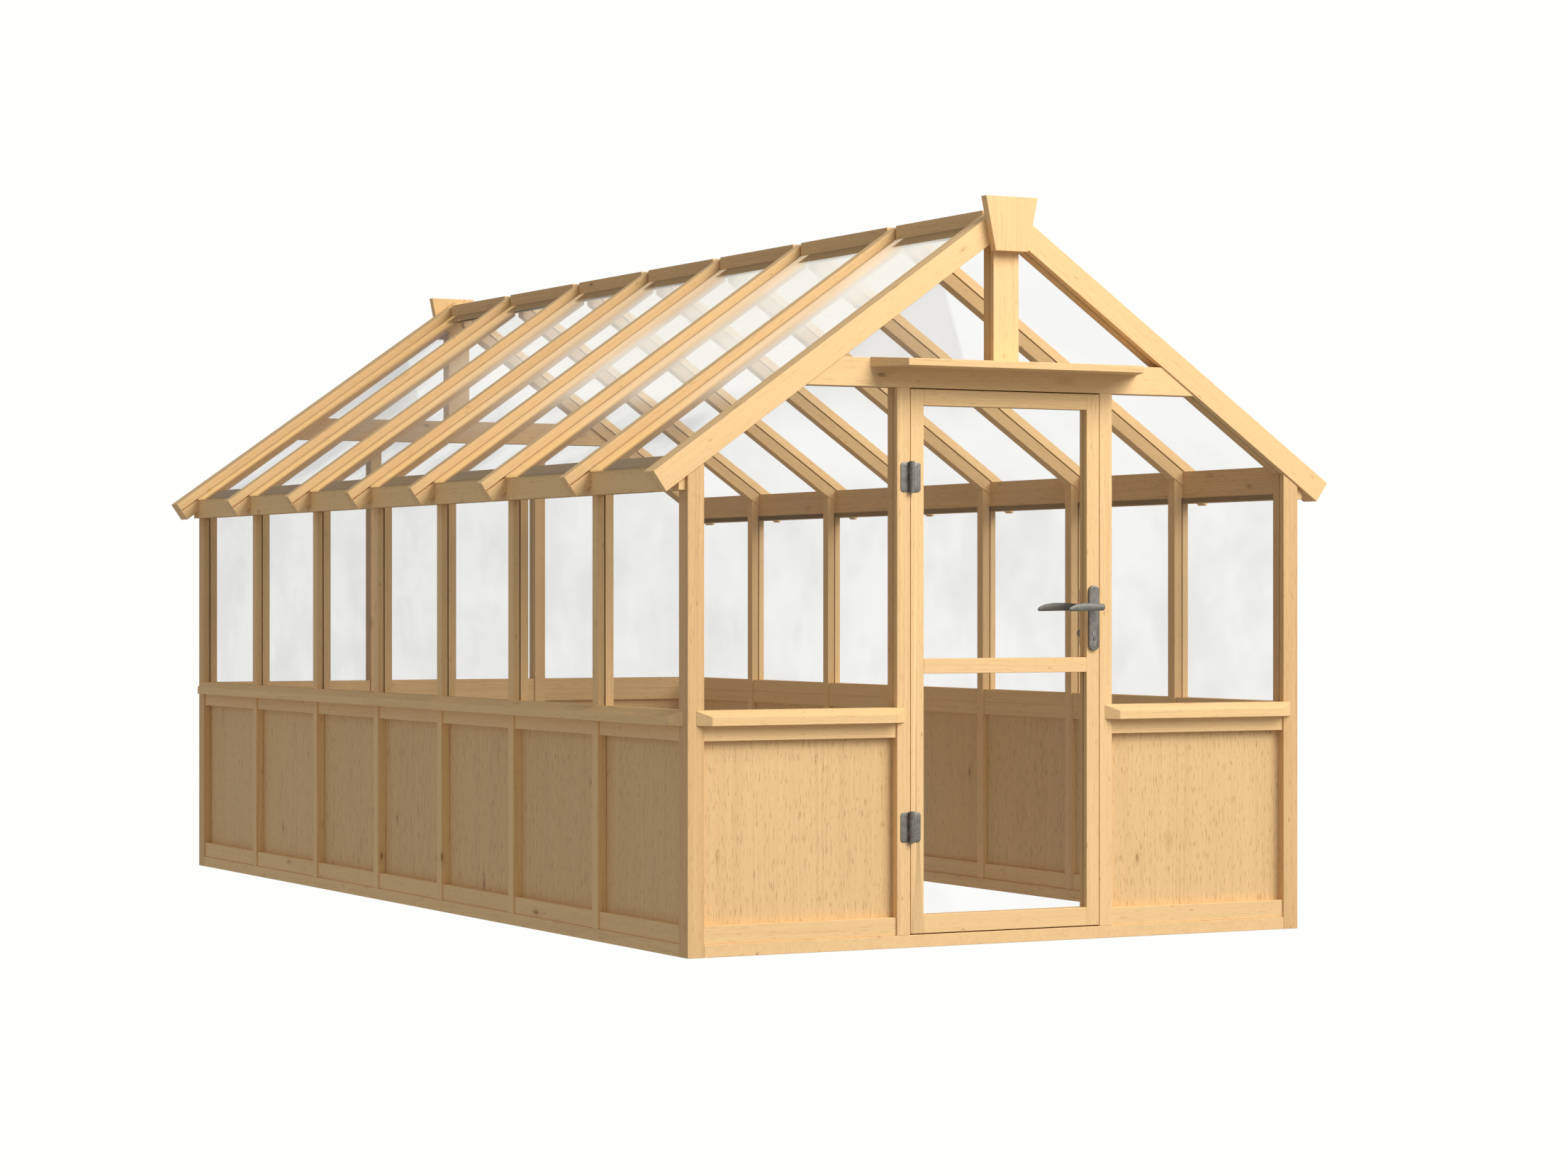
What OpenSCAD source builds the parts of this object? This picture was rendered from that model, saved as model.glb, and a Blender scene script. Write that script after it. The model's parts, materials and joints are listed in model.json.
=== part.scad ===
// Timber greenhouse with a glazed door, a knee wall all round and a pitched glass roof.
// Built as a joiner builds it: posts, rails, panels, sills, rafters and glass are single pieces.
// Front gable with the door faces -Y, the ridge runs along Y, and the part stands on Z = 0.

/* [Ground plan] */
// Width across a gable, outside the corner posts
gable_w = 2400; // [2250:10:2700]
// Length of the walls, outside the corner posts
frame_len = 4800; // [4640:10:5100]
// Outside of a gable to the centre of the first side post
end_bay = 708; // [600:1:850]
// First to second side post, centre to centre
second_bay = 712; // [600:1:850]
// Second to third side post, centre to centre
third_bay = 661; // [560:1:850]

/* [Wall frame] */
// Thickness of a side wall, and width of a corner post's front
wall_t = 60; // [52:1:75]
// Thickness of a gable wall, and depth of a corner post
gable_t = 65; // [58:1:80]
// Width of a side post
post_w = 44; // [40:1:60]
// Width of a door jamb and of a back wall post
jamb_w = 50; // [44:1:65]
// Height of the sole plates
sole_h = 42; // [35:1:60]
// Height of the bottom rails
bottom_rail_h = 60; // [45:1:90]
// Height of the infill panels between the rails
panel_h = 598; // [450:1:700]
// Height of the top rails under the sills
top_rail_h = 50; // [40:1:80]
// How far the rails lie behind the faces of the posts
rail_setback = 6; // [3:1:8]
// Outer face of the wall to the infill panels
panel_inset = 33; // [28:1:36]
// Thickness of the infill panels
panel_t = 6; // [5:0.5:9]
// Depth of a panel's edge in its groove
panel_bite = 8; // [5:1:12]
// Height of the beam over the door
header_h = 96; // [80:1:120]
// Width of the post over the door
king_w = 100; // [80:1:140]

/* [Sills] */
// Height of a sill at its back
sill_h = 50; // [42:1:65]
// Height of a sill's front edge
sill_nose_h = 29; // [20:1:36]
// How far a sill stands out of the wall
sill_out = 32; // [20:1:50]
// Overlap of a sill's end on a post
sill_horn = 30; // [15:1:35]
// Length taken off a sill's end at its front edge
sill_taper = 44; // [10:1:50]
// Centre of a side post to the joint in the side sill
sill_joint = 45; // [30:1:120]

/* [Roof] */
// Pitch of the roof in degrees
pitch = 35; // [30:1:40]
// Height of the eaves beam's outer top edge
eaves_h = 1595; // [1500:5:1700]
// Height of the eaves beam's outer face
beam_h = 82; // [70:1:110]
// How far the eaves beam stands out of the side wall
beam_out = 27; // [15:1:40]
// Front of a gable to the end of the eaves beam
beam_end = 12; // [5:1:20]
// Width of a rafter
rafter_w = 50; // [44:1:60]
// Depth of a rafter below the glass
rafter_d = 43; // [36:1:60]
// Width of the rib between two roof panes
rib_w = 20; // [14:1:24]
// Width of a glazing cap
cap_w = 46; // [38:1:50]
// Depth of a glazing cap above the glass
cap_d = 32; // [22:1:40]
// Side wall to the lowest edge of a rafter's end, level
tail_out = 125; // [100:1:180]
// Thickness of a barge board
barge_t = 30; // [24:1:40]
// How far the barge boards stand in front of the gable
barge_proud = 5; // [2:1:12]
// Width of the ridge beam
beam_w = 36; // [28:1:50]
// Height of the ridge beam
ridge_beam_h = 53; // [40:1:60]
// Width of the ridge blocks
ridge_w = 89; // [70:1:110]
// Height of a ridge block's side above the glass
ridge_h = 50; // [46:1:60]
// Height of the ridge blocks above the glazing caps
ridge_lip = 3; // [1:1:8]
// Gap between a ridge block and a rafter's side, above the glass
ridge_notch = 7; // [4:1:12]

/* [Keystone and canopy] */
// Width of the keystone at the top
key_top_w = 204; // [170:1:260]
// Width of the keystone at the bottom
key_bottom_w = 128; // [100:1:160]
// Height of the keystone
key_h = 184; // [150:1:220]
// Thickness of the keystone
key_t = 33; // [20:1:45]
// Keystone below the underside of the rafters' peak
key_drop = 69; // [50:1:90]
// Width of the door canopy at the wall
canopy_w = 1050; // [900:1:1200]
// Width of the door canopy at its front edge
canopy_nose_w = 920; // [800:1:1100]
// How far the door canopy stands out
canopy_out = 144; // [80:1:180]
// Thickness of the door canopy at the wall
canopy_h = 33; // [24:1:45]
// Thickness of the door canopy at its front edge
canopy_nose_h = 24; // [8:1:24]
// Underside of the beam over the door to the canopy
canopy_rise = 65; // [40:1:80]

/* [Glass] */
// Thickness of the wall and door panes
pane_t = 4; // [3:0.5:5]
// Thickness of the roof panes
roof_pane_t = 5; // [4:0.5:6]
// Outer face of the wall to the glass
pane_inset = 25; // [22:1:28]
// Depth of a pane's edge in its groove
pane_bite = 5; // [3:1:8]
// Overlap of a side pane behind the eaves beam
pane_lap = 20; // [10:1:40]
// Overhang of a roof pane past the eaves beam
pane_eave = 5; // [0:1:20]

/* [Door] */
// Width of the door
door_w = 742; // [650:1:850]
// Height of the door
door_h = 1815; // [1750:1:1840]
// Thickness of the door
door_t = 45; // [40:1:48]
// Width of the door stiles
stile_w = 50; // [48:1:70]
// Height of the top door rail
door_top_h = 54; // [45:1:90]
// Height of the middle door rail
door_mid_h = 50; // [40:1:80]
// Height of the bottom door rail
door_bottom_h = 62; // [45:1:120]
// Bottom of the door to the middle rail
door_mid_z = 866; // [700:1:900]
// Gap at each side of the door
side_gap = 2.5; // [2:0.1:3.5]
// Gap above and below the door
head_gap = 4; // [3:0.5:8]
// Width of the stop strips behind the door
stop_w = 12; // [8:1:16]
// Thickness of the stop strips
stop_t = 15; // [10:1:16]

/* [Hinges] */
// Height of a hinge
hinge_h = 100; // [80:5:120]
// Width of one hinge leaf from the pin's axis
leaf_w = 38; // [34:1:44]
// Thickness of a hinge leaf
leaf_t = 2.5; // [2:0.25:3.5]
// Radius of the hinge knuckles
knuckle_r = 9.5; // [6:0.25:11]
// Radius of the hinge pin
pin_r = 3; // [2.5:0.25:4]
// Bottom of the door to the centre of the lower hinge
hinge_low_z = 355; // [250:1:450]
// Bottom of the door to the centre of the upper hinge
hinge_high_z = 1521; // [1400:1:1600]

/* [Lock and handles] */
// Bottom of the door to the handle's axis
handle_z = 1090; // [1000:1:1150]
// Edge of the door to the handle's axis
backset = 25; // [24:1:26]
// Handle's axis to the lock cylinder's axis
lock_centres = 92; // [72:1:92]
// Width of the backplates
plate_w = 40; // [36:1:46]
// Height of the backplates
plate_h = 222; // [215:1:240]
// Handle's axis to the middle of the backplates
plate_drop = 39; // [30:1:45]
// Thickness of the backplates
plate_t = 10; // [6:1:12]
// Backplate to the middle of a lever's grip
lever_out = 52; // [44:1:60]
// How much further out the tip of a lever stands
lever_flare = 15; // [0:1:20]
// Length of a lever from the handle's axis
lever_len = 145; // [115:1:155]
// How far the latch stands out of the door's edge
latch_throw = 10; // [8:1:11]
// Turn of the levers in degrees
lever_turn = 40; // [30:1:45]

/* [Hidden] */

pine = [0.93, 0.77, 0.52];
pine_shade = [0.86, 0.69, 0.44];
clear_glass = [0.85, 0.89, 0.90, 0.35];
bronze = [0.44, 0.42, 0.40];
steel = [0.62, 0.62, 0.60];

// Small clearances
cut = 1;             // how far a cutter runs past a face
seat_slack = 0.3;    // glass and panels in their grooves
pane_side_slack = 1; // roof panes beside the ribs
mortice_slack = 0.3; // lock parts in the wood
bore_slack = 0.05;   // running fits
slide_slack = 0.3;   // bolts in their windows and levers over their plates
screw_slack = 0.1;   // screws in their holes
board_gap = 0.3;     // boards that butt end to end

// Ground plan
half_w = gable_w / 2;
half_post_y = [end_bay, end_bay + second_bay, end_bay + second_bay + third_bay];
post_y = concat(half_post_y, [for (i = [2 : -1 : 0]) frame_len - half_post_y[i]]);
posts = len(post_y);
canopy_front = canopy_out;
keystone_back = barge_proud + key_t;
middle_y = (frame_len + keystone_back - canopy_front) / 2;

// Heights of the knee wall
panel_z = sole_h + bottom_rail_h;
top_rail_z = panel_z + panel_h;
sill_z = top_rail_z + top_rail_h;
sill_top = sill_z + sill_h;

// Door opening
door_z = sole_h + head_gap;
header_z = door_z + door_h + head_gap;
header_top = header_z + header_h;
opening_w = door_w + 2 * side_gap;
jamb_in = half_w - opening_w / 2;
jamb_out = jamb_in - jamb_w;

// Bays of each wall, from post face to post face, measured along the wall
side_bays = [for (i = [0 : posts]) [
    i == 0 ? gable_t : post_y[i - 1] + post_w / 2,
    i == posts ? frame_len - gable_t : post_y[i] - post_w / 2]];
left_gable_bay = [wall_t, jamb_out];
right_gable_bay = [gable_w - jamb_out, gable_w - wall_t];
front_bays = [left_gable_bay, right_gable_bay];
back_bays = [left_gable_bay, [jamb_in, gable_w - jamb_in], right_gable_bay];

// Roof heights: d is the level distance inwards from the side wall's outer face, and n is
// the distance above the underside of the glass, square to the slope
roof_top = roof_pane_t + cap_d;
function roof_z(d, n = 0) = eaves_h + (d + beam_out) * tan(pitch) + n / cos(pitch);
function under_z(d) = roof_z(d, -rafter_d);
function under_d(z) = (z - eaves_h + rafter_d / cos(pitch)) / tan(pitch) - beam_out;
function tail_d(n) = -tail_out + (roof_top - n) * sin(pitch);
function tail_point(n) = [tail_d(n), roof_z(tail_d(n), n)];

beam_z = eaves_h - beam_h;
barge_back = barge_t - barge_proud;
rafter_y = concat([barge_back + rafter_w / 2], post_y, [frame_len - barge_back - rafter_w / 2]);
rafters = len(rafter_y);
beam_d = half_w - beam_w / 2;
ridge_d = half_w - ridge_w / 2;
ridge_top = roof_z(ridge_d, roof_pane_t) + ridge_h;
cap_peak_z = ridge_top - ridge_lip;
cap_peak_d = (cap_peak_z - roof_z(0, roof_top)) / tan(pitch);
ridge_z = roof_z(half_w, roof_pane_t) - ridge_beam_h;
key_z = under_z(half_w) - key_drop;

// Door and its fittings, with X from the middle of the door
door_x = door_w / 2;
stile_in = door_x - stile_w;
door_glass_y = (door_t - pane_t) / 2;
axis_x = -door_x - side_gap / 2;
axis_y = -knuckle_r;
hinge_zs = [door_z + hinge_low_z, door_z + hinge_high_z];
stop_inset = 2;
plate_room = 6;
knuckles = 5;
knuckle_gap = 0.5;
knuckle_h = (hinge_h - (knuckles - 1) * knuckle_gap) / knuckles;
pin_head_r = knuckle_r - 1;
pin_head_h = 3;
leaf_corner = 11;
screw_head_r = 3.3;
screw_head_h = 2;
screw_r = 1.8;
screw_len = 22;
leaf_screws = [[0.57, -0.35], [0.83, -0.18], [0.83, 0.18], [0.57, 0.35]];

lock_x = door_x - backset;
spindle_z = door_z + handle_z;
cylinder_z = spindle_z - lock_centres;
plate_z = spindle_z - plate_drop;
plate_screw_z = plate_h / 2 - 10;
plate_screw_r = 2.5;
plate_boss_r = 10;
latch_rise = 25;
deadbolt_drop = 58;
case_back = 18.2;
face_t = 3;
face_w = 20;
face_h = 186;
face_screw_inset = 5;
strike_screw_inset = 9;
case_t = 16;
case_h = 168;
case_z = spindle_z - plate_drop - case_h / 2;
case_x = lock_x - case_back;
case_wall = 1.5;
lock_y = door_t / 2;
square_w = 8;
spindle_reach = 28;
neck_r = 9;
neck_in = 3;
grip_back = 2;
grip_drop = 14.5;
tip_r = 8;
hub_r = 9;
arm_w = 6;
arm_r = latch_throw / (lever_turn * PI / 180);
bolt_t = 10;
latch_h = 14;
latch_z = spindle_z + latch_rise;
tooth_t = 3;
deadbolt_h = 22;
deadbolt_z = spindle_z - deadbolt_drop;
deadbolt_len = 34;
deadbolt_back = 0.3;
pocket_d = 15;
pocket_room = 1;
strike_t = 2;
strike_h = face_h;
barrel_r = 8.5;
lobe_w = 10;
lobe_h = 24.5;
plug_r = 6.6;
cam_r = 12;
cam_t = 9;
cylinder_proud = 1;
key_slot_w = 2;
key_slot_h = 8;
key_slot_l = 20;
turn_neck_r = 5;
turn_neck_l = 14;
turn_l = 28;
turn_h = 24;
turn_t = 6;

// Puts the whole part's bounding box over the origin
module place() {
    translate([0, -middle_y, 0]) children();
}

// Extrusions of an outline drawn as depth and height, along X or along Y
module along_x(x0, x1) {
    translate([x0, 0, 0]) rotate([90, 0, 90]) linear_extrude(x1 - x0) children();
}
module along_y(y0, y1) {
    translate([0, y1, 0]) rotate([90, 0, 0]) linear_extrude(y1 - y0) children();
}

// A box from its lowest to its highest corner
module box(low, high) {
    translate(low) cube([high[0] - low[0], high[1] - low[1], high[2] - low[2]]);
}

// Walls: X runs along the wall from its start, Y runs inwards from its outer face
module front_wall() {
    translate([-half_w, 0, 0]) children();
}
module back_wall() {
    translate([-half_w, frame_len, 0]) mirror([0, 1, 0]) children();
}
module left_wall() {
    translate([-half_w, 0, 0]) mirror([1, -1, 0]) children();
}
module right_wall() {
    mirror([1, 0, 0]) left_wall() children();
}
module both_gables() {
    front_wall() children();
    back_wall() children();
}
module both_halves() {
    children();
    translate([gable_w, 0, 0]) mirror([1, 0, 0]) children();
}

// Roof slopes: X runs inwards from the side wall's outer face, Y runs back from the front
module left_slope() {
    translate([-half_w, 0, 0]) children();
}
module right_slope() {
    mirror([1, 0, 0]) left_slope() children();
}
module roof_strip(n0, n1, y0, y1, end_d = half_w) {
    along_y(y0, y1) polygon([tail_point(n0), tail_point(n1),
        [end_d, roof_z(end_d, n1)], [end_d, roof_z(end_d, n0)]]);
}

// Glass and its grooves: grow is 0 for the pane itself and the slack for its groove
module side_pane_forms(grow) {
    for (b = side_bays)
        box([b[0] - pane_bite - grow, pane_inset - grow, sill_top - pane_bite - grow],
            [b[1] + pane_bite + grow, pane_inset + pane_t + grow, beam_z + pane_lap + grow]);
}
module gable_pane_plate(grow, points) {
    along_y(pane_inset - grow, pane_inset + pane_t + grow) polygon(points);
}
module low_gable_pane(grow) {
    bite = pane_bite + grow;
    lift = bite / cos(pitch);
    u0 = wall_t - bite;
    u1 = jamb_out + bite;
    z0 = sill_top - bite;
    z1 = header_z + bite;
    gable_pane_plate(grow, [[u0, z0], [u0, under_z(u0) + lift], [under_d(z1 - lift), z1],
        [u1, z1], [u1, z0]]);
}
module high_gable_pane(grow) {
    bite = pane_bite + grow;
    lift = bite / cos(pitch);
    u1 = half_w - king_w / 2 + bite;
    z0 = header_top - bite;
    gable_pane_plate(grow, [[under_d(z0 - lift), z0], [u1, z0], [u1, under_z(u1) + lift]]);
}
module middle_gable_pane(grow) {
    bite = pane_bite + grow;
    box([jamb_in - bite, pane_inset - grow, sill_top - bite],
        [gable_w - jamb_in + bite, pane_inset + pane_t + grow, header_z + bite]);
}
module gable_pane_forms(grow) {
    both_halves() {
        low_gable_pane(grow);
        high_gable_pane(grow);
    }
}
module panel_forms(bays, grow) {
    for (b = bays)
        box([b[0] - panel_bite - grow, panel_inset - grow, panel_z - panel_bite - grow],
            [b[1] + panel_bite + grow, panel_inset + panel_t + grow,
            panel_z + panel_h + panel_bite + grow]);
}
module side_seats() {
    side_pane_forms(seat_slack);
    panel_forms(side_bays, seat_slack);
}
module gable_seats(bays) {
    gable_pane_forms(seat_slack);
    panel_forms(bays, seat_slack);
}

// Sole plates between the corner posts
module gable_sole() {
    box([wall_t, 0, 0], [gable_w - wall_t, gable_t, sole_h]);
}
module side_sole() {
    box([gable_t, 0, 0], [frame_len - gable_t, wall_t, sole_h]);
}
module sole_plates() place() color(pine) {
    front_wall() gable_sole();
    back_wall() gable_sole();
    left_wall() side_sole();
    right_wall() side_sole();
}

// Corner posts, housed for the ends of the eaves beams
module corner_post() {
    difference() {
        along_y(0, gable_t) polygon([[0, 0], [0, under_z(0)], [wall_t, under_z(wall_t)],
            [wall_t, 0]]);
        box([-cut, beam_end, beam_z], [pane_inset, gable_t + cut, under_z(wall_t)]);
        gable_seats(front_bays);
        mirror([1, -1, 0]) side_seats();
    }
}
module corner_posts() place() color(pine) {
    both_gables() both_halves() corner_post();
}

// Side posts: the outer part stops under the eaves beam, the inner part meets the rafter
module side_posts() {
    difference() {
        for (y = post_y)
            along_x(y - post_w / 2, y + post_w / 2) polygon([[0, sole_h], [0, beam_z],
                [pane_inset, beam_z], [pane_inset, under_z(pane_inset)],
                [wall_t, under_z(wall_t)], [wall_t, sole_h]]);
        side_seats();
    }
}
module left_wall_posts() place() color(pine) left_wall() side_posts();
module right_wall_posts() place() color(pine) right_wall() side_posts();

// Door jambs and the matching posts of the back wall
module jamb_post() {
    box([jamb_out, 0, sole_h], [jamb_in, gable_t, header_z]);
}
module hinge_jamb() place() color(pine) difference() {
    front_wall() difference() {
        jamb_post();
        gable_seats(front_bays);
    }
    frame_screw_holes();
}
module lock_jamb() place() color(pine) difference() {
    front_wall() difference() {
        translate([gable_w, 0, 0]) mirror([1, 0, 0]) jamb_post();
        gable_seats(front_bays);
    }
    strike_recess();
    frame_screw_holes();
}
module back_wall_posts() place() color(pine) back_wall() difference() {
    both_halves() jamb_post();
    gable_seats(back_bays);
    middle_gable_pane(seat_slack);
}

// Beams over the door and across the back, cut to the slope at both ends
module header_beam() {
    along_y(0, gable_t) polygon([[under_d(header_z), header_z], [under_d(header_top), header_top],
        [gable_w - under_d(header_top), header_top], [gable_w - under_d(header_z), header_z]]);
}
module front_header() place() color(pine) front_wall() difference() {
    header_beam();
    gable_seats(front_bays);
}
module back_header() place() color(pine) back_wall() difference() {
    header_beam();
    gable_seats(back_bays);
    middle_gable_pane(seat_slack);
}
module king_posts() place() color(pine) both_gables() difference() {
    union() {
        along_y(0, gable_t) polygon([[half_w - king_w / 2, header_top],
            [half_w - king_w / 2, under_z(half_w - king_w / 2)], [half_w, under_z(half_w)],
            [half_w + king_w / 2, under_z(half_w - king_w / 2)],
            [half_w + king_w / 2, header_top]]);
        box([beam_d, barge_back, header_top], [half_w + beam_w / 2, gable_t, ridge_z]);
    }
    gable_pane_forms(seat_slack);
}

// Knee wall: rails set back from the posts, with a panel grooved in between
module rails(bays, t, z, h) {
    difference() {
        for (b = bays)
            box([b[0], rail_setback, z], [b[1], t - rail_setback, z + h]);
        panel_forms(bays, seat_slack);
    }
}
module bottom_rails(bays, t) {
    rails(bays, t, sole_h, bottom_rail_h);
}
module top_rails(bays, t) {
    rails(bays, t, top_rail_z, top_rail_h);
}
module left_bottom_rails() place() color(pine) left_wall() bottom_rails(side_bays, wall_t);
module right_bottom_rails() place() color(pine) right_wall() bottom_rails(side_bays, wall_t);
module gable_bottom_rails() place() color(pine) {
    front_wall() bottom_rails(front_bays, gable_t);
    back_wall() bottom_rails(back_bays, gable_t);
}
module left_top_rails() place() color(pine) left_wall() top_rails(side_bays, wall_t);
module right_top_rails() place() color(pine) right_wall() top_rails(side_bays, wall_t);
module gable_top_rails() place() color(pine) {
    front_wall() top_rails(front_bays, gable_t);
    back_wall() top_rails(back_bays, gable_t);
}
module left_infill_panels() place() color(pine_shade) left_wall() panel_forms(side_bays, 0);
module right_infill_panels() place() color(pine_shade) right_wall() panel_forms(side_bays, 0);
module gable_infill_panels() place() color(pine_shade) {
    front_wall() panel_forms(front_bays, 0);
    back_wall() panel_forms(back_bays, 0);
}

// Sills: a sloped nose in front of the posts and a level top from their face inwards
module sill_bar(x0, x1, t) {
    along_x(x0, x1) polygon([[-sill_out, sill_z], [-sill_out, sill_z + sill_nose_h],
        [0, sill_top], [t - rail_setback, sill_top], [t - rail_setback, sill_z]]);
}
module sill_end_cut() {
    translate([0, 0, sill_z - cut]) linear_extrude(sill_h + 2 * cut)
        polygon([[-cut, 0], [0, 0], [sill_taper, -sill_out],
            [sill_taper * (1 + cut / sill_out), -sill_out - cut], [-cut, -sill_out - cut]]);
}
module sill_end_cuts(x0, x1) {
    translate([x0, 0, 0]) sill_end_cut();
    translate([x1, 0, 0]) mirror([1, 0, 0]) sill_end_cut();
}
module post_space(x0, x1, t) {
    box([x0, 0, sill_z - cut], [x1, t, sill_top + cut]);
}
module side_post_spaces() {
    for (y = post_y)
        post_space(y - post_w / 2, y + post_w / 2, wall_t);
    post_space(0, gable_t, wall_t);
    post_space(frame_len - gable_t, frame_len, wall_t);
}
module gable_post_spaces() {
    both_halves() {
        post_space(0, wall_t, gable_t);
        post_space(jamb_out, jamb_in, gable_t);
    }
}
module side_sills() {
    joints = [post_y[2] + sill_joint, post_y[3] + sill_joint];
    starts = concat([sill_horn], joints);
    ends = concat(joints, [frame_len - sill_horn]);
    difference() {
        for (i = [0 : len(starts) - 1])
            sill_bar(starts[i], ends[i] - (i < len(ends) - 1 ? board_gap : 0), wall_t);
        sill_end_cuts(sill_horn, frame_len - sill_horn);
        side_post_spaces();
        side_pane_forms(seat_slack);
    }
}
module front_sill() {
    x0 = wall_t - sill_horn;
    x1 = jamb_out + sill_horn;
    difference() {
        sill_bar(x0, x1, gable_t);
        sill_end_cuts(x0, x1);
        gable_post_spaces();
        gable_pane_forms(seat_slack);
    }
}
module back_sill() {
    x0 = wall_t - sill_horn;
    x1 = gable_w - x0;
    difference() {
        sill_bar(x0, x1, gable_t);
        sill_end_cuts(x0, x1);
        gable_post_spaces();
        gable_pane_forms(seat_slack);
        middle_gable_pane(seat_slack);
    }
}
module left_sills() place() color(pine) left_wall() side_sills();
module right_sills() place() color(pine) right_wall() side_sills();
module gable_sills() place() color(pine) {
    front_wall() both_halves() front_sill();
    back_wall() back_sill();
}

// Eaves beams, bevelled to the slope and notched for every rafter
module eaves_beam() {
    difference() {
        along_y(beam_end, frame_len - beam_end) polygon([[-beam_out, beam_z],
            [-beam_out, eaves_h], [pane_inset, roof_z(pane_inset)], [pane_inset, beam_z]]);
        for (y = post_y)
            roof_strip(-rafter_d, roof_top, y - rafter_w / 2, y + rafter_w / 2);
        roof_strip(-rafter_d, roof_top, 0, barge_back + rafter_w);
        roof_strip(-rafter_d, roof_top, frame_len - barge_back - rafter_w, frame_len);
    }
}
module left_eaves_beam() place() color(pine) left_slope() eaves_beam();
module right_eaves_beam() place() color(pine) right_slope() eaves_beam();

// Rafters with a rib between the panes; the gable rafters fill the side by the barge board
module rafter_row() {
    for (i = [0 : rafters - 1]) {
        y = rafter_y[i];
        rib0 = i == 0 ? y - rafter_w / 2 : y - rib_w / 2;
        rib1 = i == rafters - 1 ? y + rafter_w / 2 : y + rib_w / 2;
        roof_strip(-rafter_d, 0, y - rafter_w / 2, y + rafter_w / 2, beam_d);
        roof_strip(0, roof_pane_t, rib0, rib1, beam_d);
    }
}
module left_rafters() place() color(pine) difference() {
    left_slope() rafter_row();
    both_gables() gable_pane_forms(seat_slack);
}
module right_rafters() place() color(pine) difference() {
    right_slope() rafter_row();
    both_gables() gable_pane_forms(seat_slack);
}

// Glazing caps hold the roof panes down and level off at the ridge
module cap_row() {
    for (y = rafter_y)
        along_y(y - cap_w / 2, y + cap_w / 2) polygon([tail_point(roof_pane_t),
            tail_point(roof_top), [cap_peak_d, cap_peak_z], [half_w, cap_peak_z],
            [half_w, roof_z(half_w, roof_pane_t)]]);
}
module left_glazing_caps() place() color(pine) left_slope() cap_row();
module right_glazing_caps() place() color(pine) right_slope() cap_row();

// Ridge beam between the gables, with its top bevelled to both slopes
module ridge_beam() place() color(pine)
    along_y(barge_back, frame_len - barge_back) polygon([[-beam_w / 2, ridge_z],
        [-beam_w / 2, roof_z(beam_d, roof_pane_t)], [0, roof_z(half_w, roof_pane_t)],
        [beam_w / 2, roof_z(beam_d, roof_pane_t)], [beam_w / 2, ridge_z]]);

// Ridge blocks lie over the beam and the panes' top edges and stand clear of the caps
module ridge_blocks() place() color(pine) {
    room = rafter_w / 2 + ridge_notch;
    for (i = [0 : rafters - 2])
        along_y(rafter_y[i] + room, rafter_y[i + 1] - room) polygon([
            [-ridge_w / 2, roof_z(ridge_d, roof_pane_t)], [-ridge_w / 2, ridge_top],
            [ridge_w / 2, ridge_top], [ridge_w / 2, roof_z(ridge_d, roof_pane_t)],
            [0, roof_z(half_w, roof_pane_t)]]);
}

// Barge boards cover the ends of the gable rafters and meet at the peak
module barge_board() {
    roof_strip(-rafter_d, roof_top, -barge_proud, barge_back, half_w - board_gap / 2);
}
module barge_pair() {
    left_slope() barge_board();
    right_slope() barge_board();
}
module front_barge_boards() place() color(pine) barge_pair();
module back_barge_boards() place() color(pine)
    translate([0, frame_len, 0]) mirror([0, 1, 0]) barge_pair();

// Keystones over the peak of the barge boards
module keystone() {
    along_y(-barge_proud - key_t, -barge_proud) polygon([[-key_bottom_w / 2, key_z],
        [-key_top_w / 2, key_z + key_h], [key_top_w / 2, key_z + key_h],
        [key_bottom_w / 2, key_z]]);
}
module keystones() place() color(pine) {
    keystone();
    translate([0, frame_len, 0]) mirror([0, 1, 0]) keystone();
}

// Canopy over the door: a wedge board with slanted ends
module door_canopy() place() color(pine) {
    canopy_z = header_z + canopy_rise;
    intersection() {
        along_x(-canopy_w / 2, canopy_w / 2) polygon([[-canopy_out, canopy_z],
            [-canopy_out, canopy_z + canopy_nose_h], [0, canopy_z + canopy_h], [0, canopy_z]]);
        translate([0, 0, canopy_z - cut]) linear_extrude(canopy_h + 2 * cut)
            polygon([[-canopy_w / 2, 0], [canopy_w / 2, 0],
                [canopy_nose_w / 2, -canopy_out], [-canopy_nose_w / 2, -canopy_out]]);
    }
}

// Stop strips behind the door; on the lock side they leave room for the inner backplate
module stop_strip(x0, x1, z0, z1) {
    box([x0, gable_t - stop_t - stop_inset, z0], [x1, gable_t - stop_inset, z1]);
}
module door_stops() place() color(pine_shade) {
    x = opening_w / 2;
    z = header_z - stop_w;
    lock_half = plate_h / 2 + plate_room;
    stop_strip(-x, x, z, header_z);
    stop_strip(-x, stop_w - x, sole_h, z - board_gap);
    stop_strip(x - stop_w, x, sole_h, plate_z - lock_half);
    stop_strip(x - stop_w, x, plate_z + lock_half, z - board_gap);
}

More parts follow.
